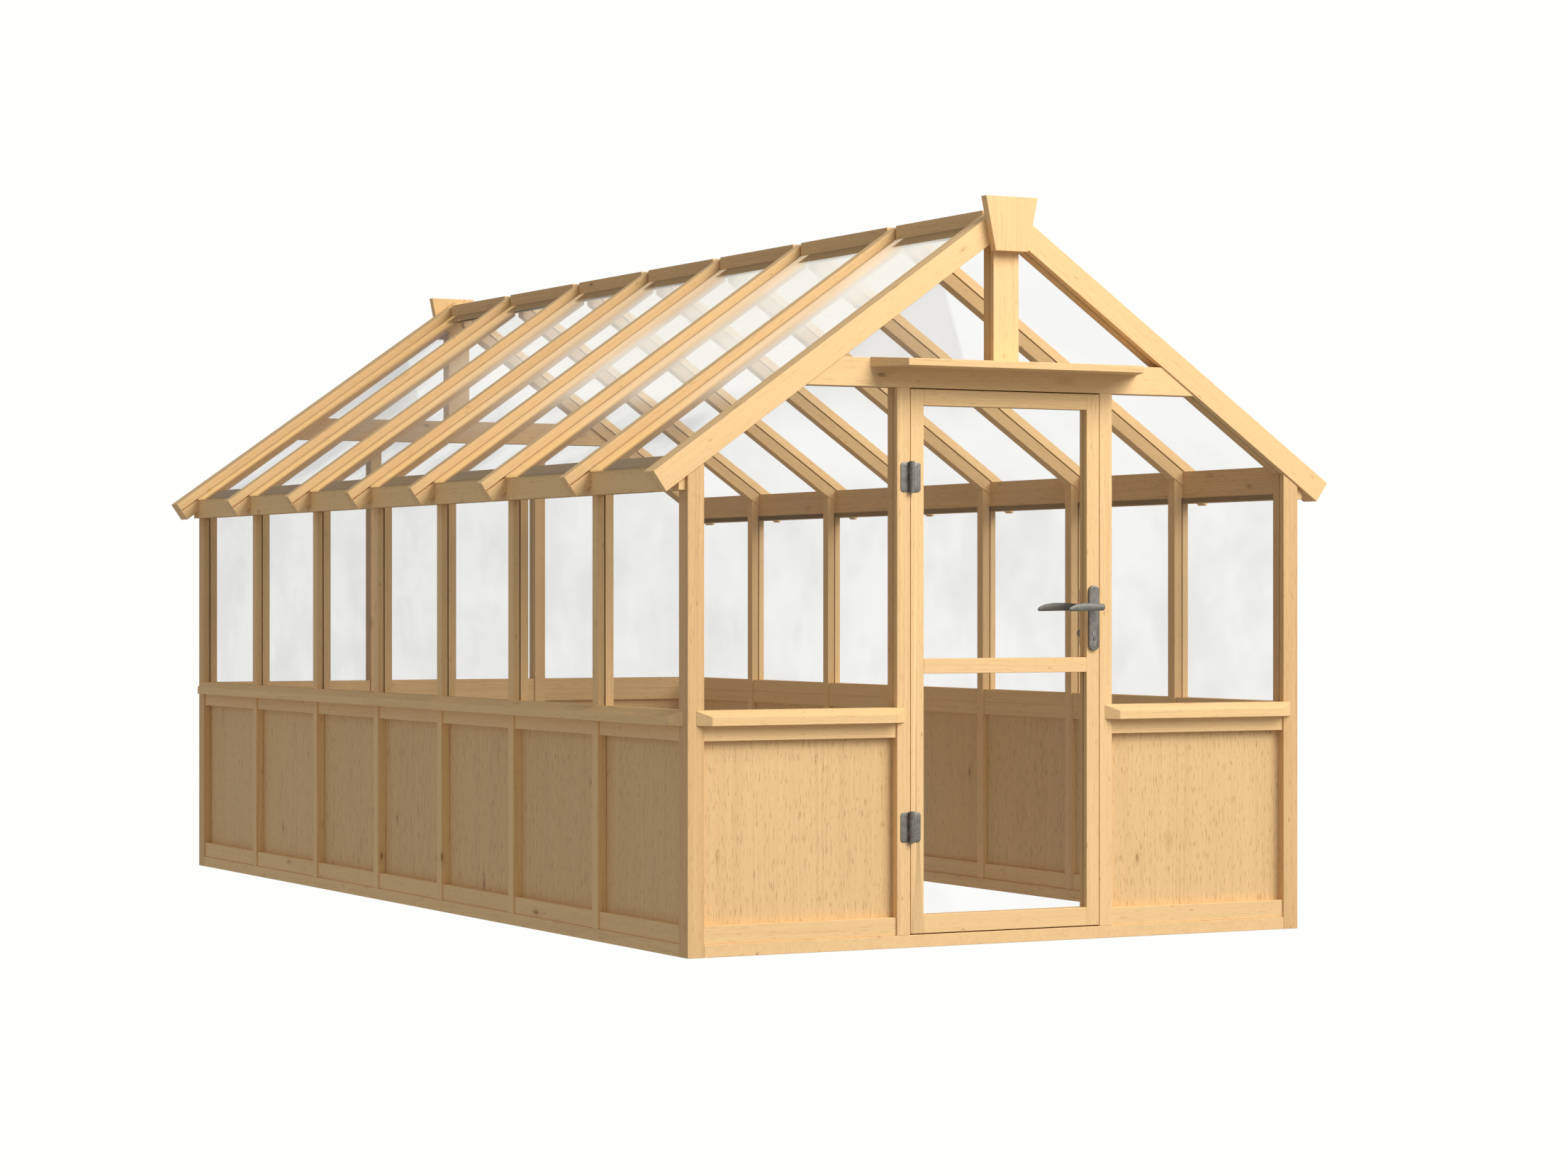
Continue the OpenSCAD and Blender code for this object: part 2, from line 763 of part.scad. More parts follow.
// Glass
module left_wall_panes() place() color(clear_glass) left_wall() side_pane_forms(0);
module right_wall_panes() place() color(clear_glass) right_wall() side_pane_forms(0);
module gable_panes() place() color(clear_glass) {
    both_gables() gable_pane_forms(0);
    back_wall() middle_gable_pane(0);
}
module roof_pane_row() {
    low_d = -beam_out - pane_eave;
    high_d = beam_d - seat_slack;
    side = rib_w / 2 + pane_side_slack;
    for (i = [0 : rafters - 2])
        along_y(rafter_y[i] + side, rafter_y[i + 1] - side)
            polygon([[low_d, roof_z(low_d)], [low_d, roof_z(low_d, roof_pane_t)],
                [high_d, roof_z(high_d, roof_pane_t)], [high_d, roof_z(high_d)]]);
}
module left_roof_panes() place() color(clear_glass) left_slope() roof_pane_row();
module right_roof_panes() place() color(clear_glass) right_slope() roof_pane_row();

// Hinges: two leaves with interleaved knuckles round a loose pin
module screw() {
    rotate([90, 0, 0]) cylinder(r = screw_head_r, h = screw_head_h, $fn = 32);
    rotate([-90, 0, 0]) cylinder(r = screw_r, h = screw_len, $fn = 24);
}
module screw_hole() {
    translate([0, cut, 0]) rotate([90, 0, 0])
        cylinder(r = screw_head_r + screw_slack, h = screw_head_h + 3 * cut, $fn = 32);
}
module pilot_hole() {
    rotate([-90, 0, 0]) cylinder(r = screw_r + screw_slack, h = screw_len + cut, $fn = 24);
}
module at_leaf_screws(side) {
    for (z = hinge_zs)
        for (s = leaf_screws)
            translate([axis_x + side * s[0] * leaf_w, 0, z + s[1] * hinge_h]) children();
}
module leaf_outline(side, odd) {
    for (z = hinge_zs)
        difference() {
            union() {
                along_y(-leaf_t, 0) {
                    translate([side > 0 ? axis_x : axis_x - leaf_w + leaf_corner,
                        z - hinge_h / 2]) square([leaf_w - leaf_corner, hinge_h]);
                    translate([side > 0 ? axis_x : axis_x - leaf_w,
                        z - hinge_h / 2 + leaf_corner])
                        square([leaf_w, hinge_h - 2 * leaf_corner]);
                    for (e = [-1, 1])
                        translate([axis_x + side * (leaf_w - leaf_corner),
                            z + e * (hinge_h / 2 - leaf_corner)]) circle(r = leaf_corner, $fn = 48);
                }
                for (k = [0 : knuckles - 1])
                    if ((k % 2 == 1) == odd)
                        translate([axis_x, axis_y,
                            z - hinge_h / 2 + k * (knuckle_h + knuckle_gap)])
                            cylinder(r = knuckle_r, h = knuckle_h, $fn = 48);
            }
            translate([axis_x, axis_y, z - hinge_h])
                cylinder(r = pin_r + bore_slack, h = 2 * hinge_h, $fn = 48);
            for (k = [0 : knuckles - 1])
                if ((k % 2 == 1) != odd)
                    box([axis_x - knuckle_r - slide_slack, axis_y - knuckle_r,
                        z - hinge_h / 2 + k * (knuckle_h + knuckle_gap) - knuckle_gap],
                        [axis_x + knuckle_r + slide_slack, cut,
                        z - hinge_h / 2 + (k + 1) * (knuckle_h + knuckle_gap)]);
        }
}
module hinge_frame_leaves() place() color(bronze) difference() {
    leaf_outline(-1, false);
    at_leaf_screws(-1) screw_hole();
}
module hinge_door_leaves() place() color(bronze) difference() {
    leaf_outline(1, true);
    at_leaf_screws(1) screw_hole();
}
module hinge_pins() place() color(steel) {
    for (z = hinge_zs)
        translate([axis_x, axis_y, z]) {
            translate([0, 0, -hinge_h / 2]) cylinder(r = pin_r, h = hinge_h, $fn = 48);
            for (e = [0, 1])
                mirror([0, 0, e]) translate([0, 0, hinge_h / 2])
                    cylinder(r = pin_head_r, h = pin_head_h, $fn = 32);
        }
}

// Strike plate in the lock jamb, with a pocket for the latch and one for the deadbolt
module bolt_box(grow, z, h, x0, x1) {
    box([x0, lock_y - bolt_t / 2 - grow, z - h / 2 - grow],
        [x1, lock_y + bolt_t / 2 + grow, z + h / 2 + grow]);
}
module strike_pockets() {
    x0 = opening_w / 2 - cut;
    x1 = opening_w / 2 + pocket_d;
    bolt_box(pocket_room, latch_z, latch_h, x0, x1);
    bolt_box(pocket_room, deadbolt_z, deadbolt_h, x0, x1);
}
module strike_form(grow) {
    x = opening_w / 2;
    box([x - cut * sign(grow), lock_y - face_w / 2 - grow, plate_z - strike_h / 2 - grow],
        [x + strike_t, lock_y + face_w / 2 + grow, plate_z + strike_h / 2 + grow]);
}
module strike_recess() {
    strike_form(mortice_slack);
    strike_pockets();
}
module at_strike_screws() {
    for (e = [-1, 1])
        translate([opening_w / 2, lock_y, plate_z + e * (strike_h / 2 - strike_screw_inset)])
            rotate([0, 0, -90]) children();
}
module strike_plate() place() color(steel) difference() {
    strike_form(0);
    strike_pockets();
    at_strike_screws() translate([0, screw_head_h, 0]) screw_hole();
}
module frame_screw_holes() {
    at_leaf_screws(-1) pilot_hole();
    at_strike_screws() pilot_hole();
}
module frame_screws() place() color(steel) {
    at_leaf_screws(-1) screw();
    at_strike_screws() difference() {
        translate([0, screw_head_h, 0]) screw();
        rotate([-90, 0, 0]) translate([0, 0, screw_len - cut]) cylinder(r = 3, h = 4, $fn = 24);
    }
}

// Door frame
module door_pane_forms(grow) {
    bite = pane_bite + grow;
    spans = [[door_z + door_bottom_h, door_z + door_mid_z],
        [door_z + door_mid_z + door_mid_h, door_z + door_h - door_top_h]];
    for (s = spans)
        box([-stile_in - bite, door_glass_y - grow, s[0] - bite],
            [stile_in + bite, door_glass_y + pane_t + grow, s[1] + bite]);
}
module stile() {
    box([stile_in, 0, door_z], [door_x, door_t, door_z + door_h]);
}
module hinge_stile() place() color(pine) difference() {
    mirror([1, 0, 0]) stile();
    door_pane_forms(seat_slack);
    at_leaf_screws(1) pilot_hole();
}
module lock_stile() place() color(pine) difference() {
    stile();
    door_pane_forms(seat_slack);
    lock_mortice();
    at_plate_screws() rotate([-90, 0, 0])
        translate([0, 0, -cut]) cylinder(r = plate_screw_r + screw_slack, h = door_t + 2 * cut,
            $fn = 24);
    at_face_screws() pilot_hole();
}
module door_rail(z, h) {
    box([-stile_in, 0, door_z + z], [stile_in, door_t, door_z + z + h]);
}
module door_rails() place() color(pine) difference() {
    union() {
        door_rail(0, door_bottom_h);
        door_rail(door_mid_z, door_mid_h);
        door_rail(door_h - door_top_h, door_top_h);
    }
    door_pane_forms(seat_slack);
}
module door_panes() place() color(clear_glass) door_pane_forms(0);

// Mortice lock: a case with its faceplate, a follower, a latch and a deadbolt
module case_form(grow) {
    box([case_x - grow, lock_y - case_t / 2 - grow, case_z - grow],
        [door_x - face_t, lock_y + case_t / 2 + grow, case_z + case_h + grow]);
}
module face_form(grow) {
    box([door_x - face_t - grow, lock_y - face_w / 2 - grow, plate_z - face_h / 2 - grow],
        [door_x + cut * sign(grow), lock_y + face_w / 2 + grow, plate_z + face_h / 2 + grow]);
}
module euro_outline(grow) {
    translate([lock_x, cylinder_z]) circle(r = barrel_r + grow, $fn = 48);
    translate([lock_x - lobe_w / 2 - grow, cylinder_z - lobe_h - grow])
        square([lobe_w + 2 * grow, lobe_h + grow]);
}
module at_spindle() {
    translate([lock_x, 0, spindle_z]) rotate([-90, 0, 0]) children();
}
module lock_mortice() {
    case_form(mortice_slack);
    face_form(mortice_slack);
    along_y(-cut, door_t + cut) euro_outline(2 * mortice_slack);
    at_spindle() translate([0, 0, -cut])
        cylinder(r = plate_boss_r, h = door_t + 2 * cut, $fn = 48);
}
module at_face_screws() {
    for (e = [-1, 1])
        translate([door_x - face_t + 1, lock_y, plate_z + e * (face_h / 2 - face_screw_inset)])
            rotate([0, 0, 90]) children();
}
module at_plate_screws() {
    for (e = [-1, 1])
        translate([lock_x, 0, plate_z + e * plate_screw_z]) children();
}
module lock_case() place() color(steel) difference() {
    union() {
        case_form(0);
        face_form(0);
    }
    box([case_x + case_wall, lock_y - case_t / 2 + case_wall, case_z + case_wall],
        [door_x - face_t, lock_y + case_t / 2 - case_wall, case_z + case_h - case_wall]);
    along_y(0, door_t) euro_outline(mortice_slack);
    at_spindle() cylinder(r = hub_r + bore_slack, h = door_t, $fn = 48);
    bolt_box(slide_slack, latch_z, latch_h, lock_x, door_x + cut);
    bolt_box(slide_slack, deadbolt_z, deadbolt_h, lock_x, door_x + cut);
    at_face_screws() translate([0, -1, 0]) rotate([-90, 0, 0])
        cylinder(r = 2.2, h = 8, center = true, $fn = 24);
}
module latch_bolt() place() color(steel) {
    z0 = latch_z - latch_h / 2;
    z1 = latch_z + latch_h / 2;
    tip_x = door_x + latch_throw;
    tail_x = lock_x - arm_w / 2 - slide_slack - tooth_t;
    translate([0, 0, z0]) linear_extrude(latch_h)
        polygon([[tail_x, lock_y - bolt_t / 2], [tip_x, lock_y - bolt_t / 2],
            [tip_x - 9, lock_y + bolt_t / 2], [tail_x, lock_y + bolt_t / 2]]);
    box([tail_x, lock_y - bolt_t / 2, spindle_z + hub_r + 1.5],
        [tail_x + tooth_t, lock_y + bolt_t / 2, z1]);
}
module deadbolt() place() color(steel)
    bolt_box(0, deadbolt_z, deadbolt_h, door_x - deadbolt_back - deadbolt_len,
        door_x - deadbolt_back);
module follower() place() color(steel) difference() {
    union() {
        at_spindle() translate([0, 0, lock_y - case_t / 2])
            cylinder(r = hub_r, h = case_t, $fn = 48);
        box([lock_x - arm_w / 2, lock_y - 3, spindle_z],
            [lock_x + arm_w / 2, lock_y + 3, spindle_z + arm_r]);
    }
    box([lock_x - square_w / 2, -cut, spindle_z - square_w / 2],
        [lock_x + square_w / 2, door_t + cut, spindle_z + square_w / 2]);
}
module spindle() place() color(steel)
    box([lock_x - square_w / 2, -plate_t - spindle_reach, spindle_z - square_w / 2],
        [lock_x + square_w / 2, door_t + plate_t + spindle_reach, spindle_z + square_w / 2]);

// Lock cylinder with a turning plug: a keyway outside, a thumb turn inside, and a cam that
// turns in the gap in the middle
module lock_cylinder() place() color(steel) difference() {
    along_y(-plate_t - cylinder_proud, door_t + plate_t + cylinder_proud) euro_outline(0);
    translate([lock_x, 0, cylinder_z]) rotate([-90, 0, 0])
        translate([0, 0, -2 * plate_t]) cylinder(r = plug_r + bore_slack, h = 3 * door_t, $fn = 48);
    translate([lock_x, 0, cylinder_z]) rotate([-90, 0, 0])
        translate([0, 0, lock_y - cam_t / 2 - slide_slack])
            cylinder(r = cam_r + 1, h = cam_t + 2 * slide_slack, $fn = 48);
}
module thumb_turn() {
    r = turn_h / 2;
    rotate([90, 0, 90]) linear_extrude(turn_t) {
        translate([0, -r]) square([turn_l - r, 2 * r]);
        translate([turn_l - r, 0]) circle(r = r, $fn = 48);
    }
}
module cylinder_plug() place() color(bronze) difference() {
    y0 = -plate_t - cylinder_proud;
    y1 = door_t + plate_t + cylinder_proud;
    union() {
        translate([lock_x, y0, cylinder_z]) rotate([-90, 0, 0])
            cylinder(r = plug_r, h = y1 - y0, $fn = 48);
        box([lock_x - 3, lock_y - cam_t / 2, cylinder_z - cam_r + 1],
            [lock_x + 3, lock_y + cam_t / 2, cylinder_z]);
        translate([lock_x, y1 - cut, cylinder_z]) rotate([-90, 0, 0])
            cylinder(r = turn_neck_r, h = turn_neck_l + 2 * cut, $fn = 32);
        translate([lock_x - turn_t / 2, y1 + turn_neck_l, cylinder_z]) thumb_turn();
    }
    box([lock_x - key_slot_w / 2, y0 - cut, cylinder_z - key_slot_h / 2],
        [lock_x + key_slot_w / 2, y0 + key_slot_l, cylinder_z + key_slot_h / 2]);
}

// Backplates with round ends
module backplate(y0) {
    end_z = plate_h / 2 - plate_w / 2;
    difference() {
        along_y(y0, y0 + plate_t) {
            translate([lock_x - plate_w / 2, plate_z - end_z]) square([plate_w, 2 * end_z]);
            for (e = [-1, 1])
                translate([lock_x, plate_z + e * end_z]) circle(r = plate_w / 2, $fn = 64);
        }
        along_y(y0 - cut, y0 + plate_t + cut) euro_outline(mortice_slack);
        at_spindle() translate([0, 0, y0 - cut])
            cylinder(r = plate_boss_r, h = plate_t + 2 * cut, $fn = 48);
        at_plate_screws() translate([0, y0 - cut, 0]) rotate([-90, 0, 0])
            cylinder(r = plate_screw_r + screw_slack, h = plate_t + 2 * cut, $fn = 24);
    }
}
module backplates() place() color(bronze) {
    backplate(-plate_t);
    backplate(door_t);
}
module door_screws() place() color(steel) {
    at_leaf_screws(1) screw();
    at_plate_screws() rotate([-90, 0, 0]) translate([0, 0, 2 - plate_t])
        cylinder(r = plate_screw_r, h = door_t + 2 * plate_t - 4, $fn = 24);
    at_face_screws() rotate([-90, 0, 0]) cylinder(r = screw_r, h = screw_len, $fn = 24);
}

// Lever handles: a round neck, then a grip with a level underside that narrows and stands
// further out towards its drooping tip; t runs from 0 at the neck to 1 at the tip
function grip_half_h(t) = 14.3 - 7.4 * pow(t, 6) - 2.4 * pow(1 - t, 3);
function grip_centre(t) = [-grip_back - t * (lever_len - grip_back - tip_r),
    -lever_out - lever_flare * t, grip_half_h(t) - grip_drop - 2 * t];
module grip_section(t) {
    translate(grip_centre(t)) scale([tip_r + 3 * (1 - t), 9 - 4 * t, grip_half_h(t)])
        sphere(r = 1, $fn = 24);
}
module lever() {
    stations = [0, 0.3, 0.6, 0.82, 0.93, 1];
    difference() {
        union() {
            rotate([90, 0, 0]) translate([0, 0, -neck_in])
                cylinder(r = neck_r, h = lever_out + neck_in, $fn = 32);
            for (i = [1 : len(stations) - 1])
                hull() {
                    grip_section(stations[i - 1]);
                    grip_section(stations[i]);
                }
        }
        box([-square_w / 2, -spindle_reach, -square_w / 2],
            [square_w / 2, neck_in + cut, square_w / 2]);
    }
}
module outer_lever() place() color(bronze)
    translate([lock_x, -plate_t, spindle_z]) lever();
module inner_lever() place() color(bronze)
    translate([lock_x, door_t + plate_t, spindle_z]) mirror([0, 1, 0]) lever();

sole_plates();
corner_posts();
left_wall_posts();
right_wall_posts();
back_wall_posts();
hinge_jamb();
lock_jamb();
front_header();
back_header();
king_posts();
left_bottom_rails();
right_bottom_rails();
gable_bottom_rails();
left_top_rails();
right_top_rails();
gable_top_rails();
left_infill_panels();
right_infill_panels();
gable_infill_panels();
left_sills();
right_sills();
gable_sills();
left_eaves_beam();
right_eaves_beam();
ridge_beam();
ridge_blocks();
left_rafters();
right_rafters();
left_glazing_caps();
right_glazing_caps();
front_barge_boards();
back_barge_boards();
keystones();
door_canopy();
door_stops();
left_wall_panes();
right_wall_panes();
gable_panes();
left_roof_panes();
right_roof_panes();
strike_plate();
hinge_frame_leaves();
hinge_pins();
frame_screws();
hinge_stile();
lock_stile();
door_rails();
door_panes();
hinge_door_leaves();
door_screws();
lock_case();
backplates();
lock_cylinder();
cylinder_plug();
outer_lever();
inner_lever();
spindle();
follower();
latch_bolt();
deadbolt();
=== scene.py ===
import bpy, bmesh, json, math, random
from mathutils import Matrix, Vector


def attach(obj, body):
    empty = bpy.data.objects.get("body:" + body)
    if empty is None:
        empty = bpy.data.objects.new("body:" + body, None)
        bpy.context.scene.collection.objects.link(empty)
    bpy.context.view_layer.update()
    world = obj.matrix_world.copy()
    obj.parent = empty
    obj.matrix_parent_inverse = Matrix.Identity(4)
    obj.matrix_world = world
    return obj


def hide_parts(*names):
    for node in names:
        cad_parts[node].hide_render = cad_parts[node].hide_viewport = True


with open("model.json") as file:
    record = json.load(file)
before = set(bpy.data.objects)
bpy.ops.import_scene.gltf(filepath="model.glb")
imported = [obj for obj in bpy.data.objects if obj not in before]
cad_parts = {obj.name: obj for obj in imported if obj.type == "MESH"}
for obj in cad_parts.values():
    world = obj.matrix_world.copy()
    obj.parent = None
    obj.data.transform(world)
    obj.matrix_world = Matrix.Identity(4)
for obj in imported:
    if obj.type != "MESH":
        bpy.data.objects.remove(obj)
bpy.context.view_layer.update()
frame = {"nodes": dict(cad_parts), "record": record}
nodes = frame["nodes"]
bodyOf = {n: b for b, members in frame["record"]["behaviour"]["bodies"].items() for n in members}
slotOf = {s["node"]: s["material_slot"] for s in frame["record"]["subparts"]}
print("frame loaded:", len(nodes), "nodes")


# small helpers for building node trees
def addNode(tree, kind, **values):
    made = tree.nodes.new(kind)
    for key, value in values.items():
        setattr(made, key, value)
    return made


def feed(tree, target, value):
    if isinstance(value, bpy.types.NodeSocket):
        tree.links.new(value, target)
    else:
        target.default_value = value


def calc(tree, operation, *values, clamp=False):
    made = addNode(tree, "ShaderNodeMath", operation=operation, use_clamp=clamp)
    for i, value in enumerate(values):
        feed(tree, made.inputs[i], value)
    return made.outputs[0]


def plus(tree, first, second, clamp=False):
    return calc(tree, "ADD", first, second, clamp=clamp)


def times(tree, first, second):
    return calc(tree, "MULTIPLY", first, second)


# a noise value turned into a push either way round zero
def swing(tree, value, by):
    return times(tree, calc(tree, "SUBTRACT", value, 0.5), by)


def scaled(tree, vector, by):
    made = addNode(tree, "ShaderNodeVectorMath", operation="MULTIPLY")
    feed(tree, made.inputs[0], vector)
    feed(tree, made.inputs[1], by)
    return made.outputs[0]


def axes(tree, vector):
    made = addNode(tree, "ShaderNodeSeparateXYZ")
    feed(tree, made.inputs[0], vector)
    return made.outputs


def noise(tree, vector, scale=1.0, detail=2.0, roughness=0.5):
    made = addNode(tree, "ShaderNodeTexNoise")
    feed(tree, made.inputs["Vector"], vector)
    feed(tree, made.inputs["Scale"], scale)
    feed(tree, made.inputs["Detail"], detail)
    feed(tree, made.inputs["Roughness"], roughness)
    return made.outputs["Fac"]


# scattered spots: the way to the nearest one, and random numbers that belong to it
def spots(tree, vector):
    made = addNode(tree, "ShaderNodeTexVoronoi")
    feed(tree, made.inputs["Vector"], vector)
    feed(tree, made.inputs["Scale"], 1.0)
    drawn = addNode(tree, "ShaderNodeSeparateColor")
    feed(tree, drawn.inputs[0], made.outputs["Color"])
    return made.outputs["Distance"], drawn.outputs


def spread(tree, value, low, high, toLow=0.0, toHigh=1.0):
    made = addNode(tree, "ShaderNodeMapRange", interpolation_type="SMOOTHSTEP")
    feed(tree, made.inputs["Value"], value)
    feed(tree, made.inputs["From Min"], low)
    feed(tree, made.inputs["From Max"], high)
    feed(tree, made.inputs["To Min"], toLow)
    feed(tree, made.inputs["To Max"], toHigh)
    return made.outputs["Result"]


def mixColors(tree, amount, first, second):
    made = addNode(tree, "ShaderNodeMix", data_type="RGBA", blend_type="MIX")
    feed(tree, made.inputs[0], amount)
    feed(tree, made.inputs[6], first)
    feed(tree, made.inputs[7], second)
    return made.outputs[2]


def newGroup(name, ins, outs):
    tree = bpy.data.node_groups.new(name, "ShaderNodeTree")
    for label, kind, value in ins:
        made = tree.interface.new_socket(label, in_out="INPUT", socket_type=kind)
        made.default_value = value
    for label, kind in outs:
        tree.interface.new_socket(label, in_out="OUTPUT", socket_type=kind)
    return tree, addNode(tree, "NodeGroupInput").outputs, addNode(tree, "NodeGroupOutput").inputs


# sawn pine: rings round an off-board heart, fibre, soft streaks and small knots.
# A triple is repeats per metre along the board and over its two cross directions.
sawn = {
    "wander": (0.9, 7, 7),           # slow drift of the rings
    "wanderBy": 0.05,                # metres
    "ripple": (7, 22, 22),
    "rippleBy": 0.016,
    "ringsPerMetre": 125.0,
    "ringGrows": (0.25, 0.85),       # along one ring's width
    "ringEnds": (1.0, 0.88),
    "patches": (1.3, 16, 16),        # rings fade in and out over these
    "patchEdge": (0.38, 0.68),
    "faintest": 0.1,
    "fibre": (9, 520, 520),
    "fibreBy": 0.35,
    "streak": (1.1, 70, 70),
    "streakBy": 0.55,
    "knotPlaces": (4.2, 11, 11),
    "knotless": 0.55,                # share of the places without a knot
    "knotSize": (0.05, 0.11),
    "knotCore": 0.35,                # times the knot
    "knotColor": (0.20, 0.085, 0.03, 1),
    "haloSize": 2.6,                 # times the knot
    "haloBy": 0.30,
    "flecks": (26, 190, 190),
    "fleckEdge": (0.58, 0.70),
    "pipPlaces": (11, 30, 30),
    "pipless": 0.62,
    "pipSize": (0.15, 0.04),         # outer edge and full strength
    "pipBy": 0.6,
    "toneBy": 0.60,
    "rough": (0.62, 0.50),           # between the rings, on the rings
}


def pineGroup():
    tree, ins, outs = newGroup("sawnPine", [
        ("Vector", "NodeSocketVector", (0, 0, 0)),
        ("Tone", "NodeSocketFloat", 0.5),
        ("Light", "NodeSocketColor", (0.8, 0.55, 0.27, 1)),
        ("Dark", "NodeSocketColor", (0.55, 0.32, 0.13, 1)),
        ("Rings", "NodeSocketFloat", 0.4),
        ("Knots", "NodeSocketFloat", 0.8),
        ("Flecks", "NodeSocketFloat", 0.25)],
        [("Color", "NodeSocketColor"), ("Roughness", "NodeSocketFloat"),
         ("Height", "NodeSocketFloat")])
    place = ins["Vector"]

    def grainNoise(stretch, detail, roughness=0.5):
        return noise(tree, scaled(tree, place, stretch), detail=detail, roughness=roughness)

    # rings
    shift = plus(tree, swing(tree, grainNoise(sawn["wander"], 1.5), sawn["wanderBy"]),
        swing(tree, grainNoise(sawn["ripple"], 2.0), sawn["rippleBy"]))
    way = axes(tree, place)
    side = plus(tree, way[1], shift)
    radius = calc(tree, "SQRT", plus(tree, times(tree, side, side), times(tree, way[2], way[2])))
    turn = calc(tree, "FRACT", times(tree, radius, sawn["ringsPerMetre"]))
    ring = times(tree, spread(tree, turn, *sawn["ringGrows"]),
        spread(tree, turn, *sawn["ringEnds"]))
    patch = grainNoise(sawn["patches"], 2.0)
    ring = times(tree, ring, spread(tree, patch, *sawn["patchEdge"], sawn["faintest"], 1.0))

    # fibre, streaks, knots and flecks
    fibre = grainNoise(sawn["fibre"], 2.5, 0.6)
    streak = grainNoise(sawn["streak"], 3.0, 0.6)
    away, drawn = spots(tree, scaled(tree, place, sawn["knotPlaces"]))
    isKnot = calc(tree, "GREATER_THAN", drawn[0], sawn["knotless"])
    size = spread(tree, drawn[1], 0.0, 1.0, *sawn["knotSize"])
    knot = times(tree, isKnot, spread(tree, away, size, times(tree, size, sawn["knotCore"])))
    halo = times(tree, isKnot, spread(tree, away, times(tree, size, sawn["haloSize"]), size))
    fleck = spread(tree, grainNoise(sawn["flecks"], 1.0), *sawn["fleckEdge"])
    away, drawn = spots(tree, scaled(tree, place, sawn["pipPlaces"]))
    pip = times(tree, calc(tree, "GREATER_THAN", drawn[0], sawn["pipless"]),
        spread(tree, away, *sawn["pipSize"]))

    darkness = times(tree, ring, ins["Rings"])
    for part in (swing(tree, streak, sawn["streakBy"]), swing(tree, fibre, sawn["fibreBy"]),
            times(tree, halo, sawn["haloBy"]), times(tree, fleck, ins["Flecks"]),
            times(tree, pip, sawn["pipBy"])):
        darkness = plus(tree, darkness, part)
    darkness = plus(tree, darkness, swing(tree, ins["Tone"], sawn["toneBy"]), clamp=True)
    wood = mixColors(tree, darkness, ins["Light"], ins["Dark"])
    wood = mixColors(tree, times(tree, knot, ins["Knots"]), wood, sawn["knotColor"])
    feed(tree, outs["Color"], wood)
    feed(tree, outs["Roughness"], spread(tree, ring, 0.0, 1.0, *sawn["rough"]))
    feed(tree, outs["Height"], plus(tree, times(tree, fibre, 0.6), times(tree, ring, 0.4)))
    return tree


# faint grey clouds on glass, a painted reflection, over an even dimming, as a share that hides
# what is behind it
haze = {
    "thin": (0.30, 0.29, 0.26, 1),
    "thick": (0.18, 0.172, 0.155, 1),
    "clouds": (0.38, 0.64),
    "header": (1.80, 1.92),       # heights between which the haze changes to its share above
    "bankEnd": (0.49, 0.47),      # the gable's grey bank, a painted reflection, ends along a leaning line
    "bankLean": 0.32,
    "bankHeights": (1.7, 2.0),
}


def hazeGroup():
    tree, ins, outs = newGroup("glassHaze", [
        ("Vector", "NodeSocketVector", (0, 0, 0)),
        ("Clear", "NodeSocketFloat", 0.06),
        ("Cloudy", "NodeSocketFloat", 0.2),
        ("Bank", "NodeSocketFloat", 0.0),
        ("High", "NodeSocketFloat", 1.0),
        ("Size", "NodeSocketFloat", 2.2)],
        [("Alpha", "NodeSocketFloat"), ("Color", "NodeSocketColor")])
    big = noise(tree, ins["Vector"], ins["Size"], 3.0, 0.55)
    small = noise(tree, ins["Vector"], times(tree, ins["Size"], 3.3), 2.0, 0.5)
    # the cloud pattern is a painted reflection
    cloud = plus(tree, times(tree, big, 0.75), times(tree, small, 0.25))
    shade = spread(tree, cloud, *haze["clouds"])
    place = axes(tree, ins["Vector"])
    slant = plus(tree, place[0], times(tree, place[2], haze["bankLean"]))
    bank = times(tree, spread(tree, slant, *haze["bankEnd"]),
        spread(tree, place[2], *haze["bankHeights"]))
    alpha = addNode(tree, "ShaderNodeMix", data_type="FLOAT")
    feed(tree, alpha.inputs[0], shade)
    feed(tree, alpha.inputs[2], ins["Clear"])
    feed(tree, alpha.inputs[3], ins["Cloudy"])
    high = spread(tree, place[2], *haze["header"], 1.0, ins["High"])
    feed(tree, outs["Alpha"], plus(tree, times(tree, high, alpha.outputs[0]),
        times(tree, bank, ins["Bank"])))
    feed(tree, outs["Color"], mixColors(tree, shade, haze["thin"], haze["thick"]))
    return tree


# painted glare on the roof's left slope: a painted white reflection towards the ridge above the
# door, gone at the eaves, a painted tan reflection where a pane mirrors the cap along its far
# edge, and painted dark where it mirrors the shaded ridge
mirrored = {
    "rise": (-1.1, -0.35),          # x over which the white grows, away from the eaves
    "front": (2.6, -1.7),           # y over which it grows, away from the back
    "clouds": (0.30, 0.62),
    "thinnest": 0.6,
    "tan": 0.7,                     # strength of the mirrored cap
    "tanEdge": (0.80, 0.84),        # its edge across the pane, at the eaves
    "tanSoft": (0.18, 0.12),        # how far that edge widens either way at the ridge
    "tanBlur": (-1.0, -0.3),        # x over which it widens
    "line": (0.966, 0.976),         # painted shadow line under the cap, across the pane
    "ridge": (-0.0925, -0.0915),    # x where the mirrored ridge starts
    "ridgeEnd": (0.90, 0.87),       # across the pane
}


